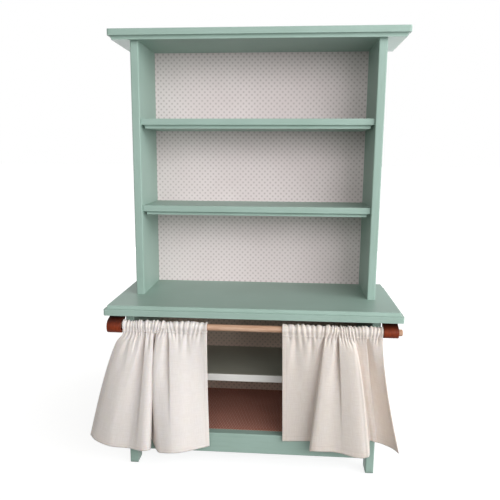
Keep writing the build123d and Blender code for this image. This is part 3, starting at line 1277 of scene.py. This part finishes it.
@dataclass
class GatheredCurtain:
    """A cotton curtain gathered on the rod by a sewn pocket.

    Attributes:
        pocket_round: the cloth that goes round the rod, from seam to seam.
        seam_drop: from the rod's axis down to the seam.
        seam_stand: how far in front of the rod's axis the seam hangs.
        pinch_turn: how far round the rod, in radians, the seam pinches the pocket.
        swell: how far a gather stands off the rod at its back.
        front_flat: how much less it stands off in front.
        least_swell: how far a valley stands off the rod at least.
        crease_rear: how much deeper than drawn the valleys are at the rod's back.
        crease_front: how much deeper they are in front.
        fold_run: the way below the seam in which the folds open.
        fold_start: how far they are open there, as a share of the hem's folds.
        lean_run: the way in which the valleys begin to lean.
        edge_run: the way in which the cloth stays clear of the leather loop.
        swing_power: below 1, the cloth swings forward sooner on its way down.
        swerve_power: below 1, it strays furthest above the middle of its way down.
        settle_scale: how many times larger the hanging copy is.
        held_top: how firmly the skirt keeps its laid-out shape at its top.
        held_hem: how firmly it keeps it at its hem.
    """

    plan: CurtainPlan
    rod_centre: Vector
    rod_radius: float
    flat_width: float = 300 * MM
    pocket_round: float = 54 * MM
    hem: float = 14 * MM
    side_hem: float = 7 * MM
    doubled_cloth: float = 1.26 * MM
    single_share: float = 0.55
    end_gap: float = 1.0 * MM
    seam_drop: float = 10.6 * MM
    seam_stand: float = 7.4 * MM
    pocket_slack: float = 0.9 * MM
    pinch_turn: float = 0.62
    swell: float = 3.0 * MM
    front_flat: float = 0.8 * MM
    least_swell: float = 0.5 * MM
    crease_rear: float = 1.5
    crease_front: float = 2.1
    fold_run: float = 22 * MM
    fold_start: float = 0.6
    lean_run: float = 10 * MM
    edge_run: float = 10 * MM
    swing_power: float = 0.9
    swerve_power: float = 0.7
    slant_drift: float = 0.26
    slant_jitter: float = 0.09
    tightness: tuple[float, float] = (0.6, 1.5)
    puff: tuple[float, float] = (-0.5, 1.3)
    pucker: float = 0.7 * MM
    seam_sag: float = 0.8 * MM
    columns: int = 241
    pocket_rows: int = 27
    skirt_rows: int = 90
    settle_frames: int = 20
    settle_scale: float = 10.0
    held_top: float = 0.62
    held_hem: float = 0.50

    def __post_init__(self) -> None:
        """Works out the names, the cloth's length and its material."""
        self.side = self.plan.side
        word = self.side.name.lower()
        self.node, self.body, self.strap = f"curtain_{word}", f"{word}_curtain", f"strap_{word}"
        self.flat_length = self.pocket_round + self.plan.skirt + self.hem
        sewn = (self.flat_width, self.plan.skirt, self.hem, self.side_hem)
        self.cotton = WovenCotton(f"cotton_{word}", self.plan.colour, self.plan.shade, *sewn).build()

    def _heading(self) -> tuple[float, float]:
        """The place of the heading, inside its leather loop.

        Returns:
            X of the heading's outer edge, and its width.
        """
        inner = 1 if self.side is Side.LEFT else 0
        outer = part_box(self.strap)[inner].x - self.side.value * self.end_gap
        return outer, abs(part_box(self.node)[inner].x - outer) - self.plan.trim

    def _hem(self) -> Hem:
        """Draws the hem line through its folds.

        Returns:
            The hem at even steps along the cloth.
        """
        outer, _ = self._heading()
        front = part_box("base_side_left")[0].y
        folds = self.plan.folds
        knots = np.array([(f.across, f.forward, f.height, f.head, f.bow, f.swerve) for f in folds])
        ridges = np.array([not f.valley for f in folds])
        place = np.arange(len(knots))
        hull = np.interp(place, place[ridges], knots[ridges, 1])
        dense = catmull_rom(np.column_stack([knots, hull]), steps=60)
        steps = np.linalg.norm(np.diff(dense[:, :3], axis=0), axis=1)
        run = np.concatenate([[0.0], np.cumsum(steps)])
        even = np.linspace(0.0, run[-1], self.columns)
        across, forward, height, heads, bow, swerve, ridge = (np.interp(even, run, row) for row in dense.T)
        points = [outer - self.side.value * across * MM, front - ridge * MM, height * MM]
        heads = np.clip(np.maximum.accumulate(heads), 0.0, 1.0)
        swerve = -self.side.value * swerve * MM
        return Hem(np.column_stack(points), (ridge - forward) * MM, heads, bow, swerve)

    def _pocket(self, x: np.ndarray, heads: np.ndarray, gathers: Gathers, sag: np.ndarray) -> np.ndarray:
        """The part of the cloth that wraps the rod, from the rear seam to the front one.

        Args:
            x: X of each column.
            heads: each column's place on the heading.
            gathers: the row of gathers.
            sag: how far the seam wanders up and down, in metres.

        Returns:
            The rows of points.
        """
        rest = self.rod_radius + self.pocket_slack
        depths, crests = gathers.pocket_depths(), gathers.crests(heads)
        rows = []
        for turn in np.linspace(0.0, 2 * math.pi, self.pocket_rows):
            from_seam = min(turn, 2 * math.pi - turn)
            pinch = math.exp(-((from_seam / self.pinch_turn) ** 2))
            front = 0.5 * (1 - math.sin(turn))
            back, _ = gathers.field(heads, -rest * (2 * math.pi - turn), depths)
            deepen = self.crease_rear * (1 - front) + self.crease_front * front
            swell = self.swell - self.front_flat * front**2 + crests - back * deepen
            swell = np.maximum(swell, self.least_swell)
            radius = rest + (self.seam_drop - rest) * pinch + swell * (1 - pinch)
            y = self.rod_centre.y + radius * math.sin(turn) * (1 - 0.5 * pinch)
            y = y - pinch * (self.seam_stand - gathers.seam_share * back)
            z = self.rod_centre.z - radius * math.cos(turn) + sag * pinch
            rows.append(np.stack([x, y, z], axis=1))
        return np.array(rows)

    def _skirt(self, x: np.ndarray, hem: Hem, gathers: Gathers, seam: np.ndarray) -> np.ndarray:
        """The hanging part of the cloth, from below the seam to the hem.

        Args:
            x: X of each column at the heading.
            hem: the hem line.
            gathers: the row of gathers.
            seam: the pocket's last row.

        Returns:
            The rows of points.
        """
        rows = []
        drop = float(np.mean(seam[:, 2] - hem.points[:, 2]))
        plain = seam[:, 1] - gathers.field(hem.heads, 0.0, gathers.skirt_depths(0.0))[0]
        for t in np.arange(1, self.skirt_rows + 1) / self.skirt_rows:
            down = t * drop
            drawn, aside = gathers.field(hem.heads, down, gathers.skirt_depths(down))
            swing = (math.sin(0.5 * math.pi * t) ** self.swing_power) ** hem.bow
            fold = (1 - math.exp(-down / self.fold_run)) * (self.fold_start * (1 - t) + t)
            y = plain * (1 - swing) + hem.points[:, 1] * swing + hem.back * fold + drawn
            z = seam[:, 2] * (1 - t) + hem.points[:, 2] * t
            spread = t**hem.bow * (1 - math.exp(-((down / self.edge_run) ** 2)))
            stray = hem.swerve * math.sin(math.pi * t**self.swerve_power)
            across = x * (1 - spread) + hem.points[:, 0] * spread + stray
            across = across - self.side.value * aside * (1 - math.exp(-down / self.lean_run))
            rows.append(np.stack([across, y, z], axis=1))
        return np.array(rows)

    def _grid(self) -> np.ndarray:
        """All the rows of the cloth, from the rear seam over the rod to the hem.

        Returns:
            The points, by row and column.
        """
        rng = np.random.default_rng(self.plan.seed)
        hem = self._hem()
        outer, width = self._heading()
        count = len(self.plan.gathers)
        jitter = self.slant_jitter
        gathers = Gathers(
            self.plan.gathers,
            width,
            slants=self.slant_drift * smooth_noise(rng, count, 5) + rng.uniform(-jitter, jitter, count),
            tightness=rng.uniform(*self.tightness, count),
            puffs=rng.uniform(*self.puff, count + 1) * MM,
            puckers=self.pucker * smooth_noise(rng, 400, 3 * count),
        )
        x = outer - self.side.value * width * hem.heads
        sag = smooth_noise(rng, self.columns, 9) + smooth_noise(rng, self.columns, count)
        pocket = self._pocket(x, hem.heads, gathers, self.seam_sag * sag)
        return np.concatenate([pocket, self._skirt(x, hem, gathers, pocket[-1])])

    def build(self) -> None:
        grid = self._grid()
        grid = grid + self._settle(grid)
        piece = self._mesh(f"{self.node}_cloth", grid)
        self._lay_out(piece, grid)
        self._thicken(piece, *grid.shape[:2])
        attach(piece, self.body)
        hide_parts(self.node)
        LOG.info("built %s", piece.name)

    def _mesh(self, name: str, grid: np.ndarray) -> bpy.types.Object:
        """Makes a mesh of the cloth's rows, with its faces turned to the front.

        Args:
            name: the piece's name.
            grid: the rows of the cloth.

        Returns:
            The piece.
        """
        faces = quads(*grid.shape[:2])
        if self.side is Side.LEFT:
            faces = [(a, d, c, b) for a, b, c, d in faces]
        else:
            faces = [(b, c, d, a) for a, b, c, d in faces]
        return make_mesh(name, grid.reshape(-1, 3), faces, self.cotton)

    def _lay_out(self, piece: bpy.types.Object, grid: np.ndarray) -> None:
        """Gives each corner its place on the flat cloth, in metres from the front seam.

        Args:
            piece: the curtain's piece.
            grid: the rows of the cloth.
        """
        columns = grid.shape[1]
        steps = np.linalg.norm(np.diff(grid, axis=0), axis=2).mean(axis=1)
        down = np.concatenate([[0.0], np.cumsum(steps)])
        down -= down[self.pocket_rows - 1]
        across = np.linspace(0.0, self.flat_width, columns)
        layer = piece.data.uv_layers.new(name="cloth")
        index = np.zeros(len(piece.data.loops), dtype=np.int32)
        piece.data.loops.foreach_get("vertex_index", index)
        uv = np.stack([across[index % columns], down[index // columns]], axis=1)
        layer.data.foreach_set("uv", uv.astype(np.float32).ravel())

    def _settle(self, grid: np.ndarray) -> np.ndarray:
        """Lets the cloth hang under its own weight, with the pocket held.

        The cloth hangs as a coarser and larger copy, which the solver is steadier on.

        Args:
            grid: the rows of the cloth as it was laid out.

        Returns:
            How far each point moved.
        """
        coarse = grid[::2, ::2]
        rows, columns = coarse.shape[:2]
        copy = self._mesh(f"{self.node}_hanging", coarse * self.settle_scale)
        held = copy.vertex_groups.new(name="held")
        pocket = (self.pocket_rows + 1) // 2
        for row in range(rows):
            share = (row - pocket) / (rows - pocket)
            weight = 1.0 if row < pocket else self.held_top * (1 - share) + self.held_hem * share
            held.add(list(range(row * columns, (row + 1) * columns)), weight, "REPLACE")
        cloth = copy.modifiers.new("hang", "CLOTH")
        for name, value in CLOTH_SETTINGS.items():
            setattr(cloth.settings, name, value)
        cloth.collision_settings.distance_min = 10 * MM
        cloth.collision_settings.use_self_collision = False
        wall = self._wall()
        cloth.point_cache.frame_start, cloth.point_cache.frame_end = 1, self.settle_frames
        for frame in range(1, self.settle_frames + 1):
            bpy.context.scene.frame_set(frame)
        hung = copy.evaluated_get(bpy.context.evaluated_depsgraph_get())
        places = np.zeros(rows * columns * 3, np.float32)
        hung.to_mesh().vertices.foreach_get("co", places)
        hung.to_mesh_clear()
        moved = places.reshape(rows, columns, 3) / self.settle_scale - coarse
        LOG.info("%s moved by up to %.1f mm", self.node, np.abs(moved).max() / MM)
        for helper in (wall, copy):
            bpy.data.objects.remove(helper, do_unlink=True)
        bpy.context.scene.frame_set(1)
        return self._finer(moved, grid.shape[:2])

    @staticmethod
    def _finer(coarse: np.ndarray, shape: tuple[int, int]) -> np.ndarray:
        """Spreads values on every second row and column over all of them.

        Args:
            coarse: the values, by row and column.
            shape: how many rows and columns there are in all.

        Returns:
            A value for each row and column.
        """
        for axis, count in enumerate(shape):
            at = np.arange(count) / 2
            low = np.minimum(at.astype(int), coarse.shape[axis] - 2)
            share = (at - low).reshape([-1 if k == axis else 1 for k in range(3)])
            coarse = coarse.take(low, axis) * (1 - share) + coarse.take(low + 1, axis) * share
        return coarse

    def _wall(self) -> bpy.types.Object:
        """A plain block in the base's place, for the hanging copy to rest against.

        Returns:
            The block, as much larger as the copy is.
        """
        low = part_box("base_side_left")[0] * self.settle_scale
        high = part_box("base_side_right")[1] * self.settle_scale
        verts = [(x, y, z) for x in (low.x, high.x) for y in (low.y, high.y) for z in (low.z, high.z)]
        faces = [(0, 1, 3, 2), (4, 6, 7, 5), (0, 4, 5, 1), (2, 3, 7, 6), (0, 2, 6, 4), (1, 5, 7, 3)]
        wall = make_mesh("wall", verts, faces, self.cotton)
        wall.modifiers.new("stop", "COLLISION")
        wall.collision.thickness_outer = 12 * MM
        return wall

    def _thicken(self, piece: bpy.types.Object, rows: int, columns: int) -> None:
        """Gives the cloth its thickness, doubled where the hems are turned.

        Args:
            piece: the curtain's piece.
            rows: how many rows of points it has.
            columns: how many points each row has.
        """
        hem_rows = max(2, round(self.hem * rows / self.flat_length))
        hem_columns = max(2, round(self.side_hem * columns / self.flat_width))
        turned = np.zeros((rows, columns), dtype=bool)
        turned[-hem_rows:] = turned[:, :hem_columns] = turned[:, -hem_columns:] = True
        turned[: self.pocket_rows] = False
        doubled = piece.vertex_groups.new(name="doubled")
        doubled.add(np.flatnonzero(turned).tolist(), 1.0, "REPLACE")
        doubled.add(np.flatnonzero(~turned).tolist(), self.single_share, "REPLACE")
        solid = piece.modifiers.new("thickness", "SOLIDIFY")
        solid.thickness, solid.offset = self.doubled_cloth, -1.0
        solid.vertex_group = "doubled"
        solid.use_even_offset = False


def smooth_noise(rng: np.random.Generator, count: int, knots: int) -> np.ndarray:
    """Random values from -1 to 1 that change smoothly over a row.

    Args:
        rng: the source of chance.
        count: how many values.
        knots: how many random places lie between them.

    Returns:
        The values.
    """
    values = rng.uniform(-1.0, 1.0, knots + 3)
    path = catmull_rom(values[:, None], steps=24)[:, 0]
    return np.interp(np.linspace(0, len(path) - 1, count), np.arange(len(path)), path)


def catmull_rom(knots: np.ndarray, steps: int) -> np.ndarray:
    """A smooth path through rows of numbers.

    Args:
        knots: the rows that the path passes through.
        steps: points between two knots.

    Returns:
        The path's rows.
    """
    first, last = 2 * knots[0] - knots[1], 2 * knots[-1] - knots[-2]
    padded = np.vstack([first, knots, last])
    t = np.linspace(0.0, 1.0, steps, endpoint=False)[:, None]
    pieces = []
    for a, b, c, d in zip(padded, padded[1:], padded[2:], padded[3:]):
        curve = 2 * b + (c - a) * t + (2 * a - 5 * b + 4 * c - d) * t**2 + (3 * b - a - 3 * c + d) * t**3
        pieces.append(0.5 * curve)
    return np.concatenate([*pieces, knots[-1:]])


LEFT_FOLDS = (
    Fold(0.000, -73.5, 9.0, 61.5, bow=0.70),
    Fold(0.045, -60.5, 19.0, 55.5, bow=0.73),
    Fold(0.105, -36.1, 28.0, 51.0, bow=0.80),
    Fold(0.175, -19.8, 29.5, 49.0, bow=0.90),
    Fold(0.250, 2.5, 29.5, 48.2),
    Fold(0.272, 14.0, 32.5, 48.0),
    Fold(0.292, 26.1, 37.0, 48.3),
    Fold(0.315, 36.1, 39.0, 48.7),
    Fold(0.335, 43.6, 37.0, 48.8, swerve=1.5),
    Fold(0.350, 48.6, 30.0, 48.7, swerve=3.5),
    Fold(0.362, 46.5, 15.0, 50.5, valley=True, swerve=1.0),
    Fold(0.380, 45.5, 5.0, 56.0, valley=True, swerve=-2.0),
    Fold(0.402, 52.0, 16.0, 51.0, valley=True, swerve=-6.0),
    Fold(0.430, 63.2, 34.5, 46.2, swerve=-10.0),
    Fold(0.480, 75.4, 39.5, 46.8, swerve=-5.5),
    Fold(0.560, 90.5, 41.5, 48.1),
    Fold(0.660, 107.5, 37.5, 48.2),
    Fold(0.770, 123.7, 28.5, 48.1),
    Fold(0.890, 140.7, 18.5, 48.4, bow=1.3),
    Fold(1.000, 157.5, 8.0, 48.5, bow=2.4),
)

LEFT_GATHERS = (
    Gather(0.030, 2.0, 10),
    Gather(0.070, 2.4, 12),
    Gather(0.105, 3.6, 60),
    Gather(0.140, 3.0, 16),
    Gather(0.178, 7.0, 24, lean=0.3),
    Gather(0.208, 3.0, 12),
    Gather(0.236, 4.0, 18),
    Gather(0.268, 15.0, 105, lean=0.8),
    Gather(0.298, 3.2, 10),
    Gather(0.326, 6.5, 20, lean=0.6),
    Gather(0.354, 2.4, 8),
    Gather(0.392, 9.0, 60, lean=0.4),
    Gather(0.430, 2.6, 9),
    Gather(0.466, 3.0, 10),
    Gather(0.498, 2.6, 9),
    Gather(0.534, 15.0, 75, lean=0.8),
    Gather(0.575, 2.8, 9),
    Gather(0.615, 3.4, 12),
    Gather(0.660, 4.0, 20),
    Gather(0.712, 2.6, 9),
    Gather(0.768, 4.2, 28),
    Gather(0.826, 3.0, 12),
    Gather(0.872, 2.2, 8),
    Gather(0.925, 3.0, 16),
)

RIGHT_FOLDS = (
    Fold(0.000, -37.0, 33.0, 63.5, bow=1.5),
    Fold(0.030, -27.5, 20.0, 65.9, bow=1.5),
    Fold(0.080, -16.1, 9.0, 66.2, bow=1.3),
    Fold(0.150, -4.0, 4.0, 68.0),
    Fold(0.210, 4.0, 3.5, 69.7, valley=True),
    Fold(0.265, 10.9, 3.5, 70.3, valley=True),
    Fold(0.290, 15.4, 37.0, 60.1, bow=0.7),
    Fold(0.310, 22.3, 41.0, 57.1, bow=0.7),
    Fold(0.335, 30.0, 42.0, 55.9, bow=0.75),
    Fold(0.370, 41.8, 40.5, 56.1, bow=0.8),
    Fold(0.410, 55.8, 37.0, 58.0, bow=0.9),
    Fold(0.450, 68.1, 33.5, 59.4),
    Fold(0.490, 82.3, 31.5, 60.0),
    Fold(0.535, 103.9, 32.0, 59.7),
    Fold(0.560, 117.0, 31.0, 59.4),
    Fold(0.575, 123.4, 26.0, 58.0),
    Fold(0.592, 121.0, 9.0, 63.0, valley=True),
    Fold(0.615, 119.0, 3.5, 65.0, valley=True),
    Fold(0.700, 129.0, 3.5, 64.8),
    Fold(0.800, 142.0, 4.0, 64.5),
    Fold(0.900, 157.7, 5.0, 64.1),
    Fold(1.000, 173.0, 6.0, 64.0),
)

RIGHT_GATHERS = (
    Gather(0.045, 3.0, 9),
    Gather(0.072, 2.4, 8),
    Gather(0.108, 3.6, 12),
    Gather(0.148, 11.5, 130, lean=0.75),
    Gather(0.182, 2.6, 9),
    Gather(0.208, 3.4, 10),
    Gather(0.236, 3.0, 9),
    Gather(0.266, 4.0, 14),
    Gather(0.300, 8.0, 34),
    Gather(0.333, 4.0, 14),
    Gather(0.358, 2.8, 9),
    Gather(0.386, 3.4, 12),
    Gather(0.412, 2.6, 8),
    Gather(0.440, 16.0, 75, lean=0.22),
    Gather(0.472, 3.2, 9),
    Gather(0.506, 4.2, 12),
    Gather(0.545, 4.6, 12),
    Gather(0.582, 10.0, 40, lean=0.35),
    Gather(0.620, 2.8, 9),
    Gather(0.660, 2.4, 8),
    Gather(0.705, 4.6, 40),
    Gather(0.752, 2.6, 9),
    Gather(0.803, 4.4, 24),
    Gather(0.868, 4.0, 60),
    Gather(0.930, 2.4, 9),
)

LEFT_COTTON = (tone(238, 229, 224), tone(231, 221, 215))
# painted shade: the right curtain's cotton is a darker, warmer copy of the left one's, standing in for the
# shade it hangs in
SHADED_RIGHT_COTTON = (tone(230, 219, 211), tone(222, 209, 200))
CURTAINS = (
    CurtainPlan(Side.LEFT, LEFT_FOLDS, LEFT_GATHERS, 236 * MM, 4.5 * MM, 11, *LEFT_COTTON),
    CurtainPlan(Side.RIGHT, RIGHT_FOLDS, RIGHT_GATHERS, 218 * MM, 0.5 * MM, 23, *SHADED_RIGHT_COTTON),
)
LOOP_SLACK = {Side.LEFT: 8 * MM, Side.RIGHT: 1.5 * MM}


@dataclass
class CurtainRail:
    """The wooden rod, its two leather loops and the two curtains."""

    nodes: dict[str, bpy.types.Object]
    effects: Effects

    def build(self) -> None:
        """Dresses the rod and builds the loops and curtains around it."""
        low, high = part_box("curtain_rod")
        centre, radius = (low + high) / 2, (high.z - low.z) / 2
        beech = BareWood("rod_beech", tone(206, 171, 146), tone(180, 139, 112), Run.ACROSS)
        dress(self.nodes["curtain_rod"], beech.build(self.effects))
        # the third leather tone is near black, painted shade for the strips' tops under the worktop
        tan = (tone(134, 55, 25), tone(102, 37, 16), tone(36, 11, 8))
        leather = TannedLeather("strap_leather", *tan).build()
        for side, slack in LOOP_SLACK.items():
            LeatherLoop(side, centre, radius, leather, slack).build()
        for plan in CURTAINS:
            GatheredCurtain(plan, centre, radius).build()


def main() -> None:
    """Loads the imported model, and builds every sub-assembly."""
    logging.basicConfig(level=logging.INFO, format="%(name)s: %(message)s")
    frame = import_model()
    bpy.context.scene.view_settings.view_transform = "Standard"
    Stage().set_up()
    effects = Effects()
    Carcass(frame["nodes"], effects).dress_all()
    CurtainRail(frame["nodes"], effects).build()
    LOG.info("the dresser is dressed")


if __name__ == "__main__":
    main()
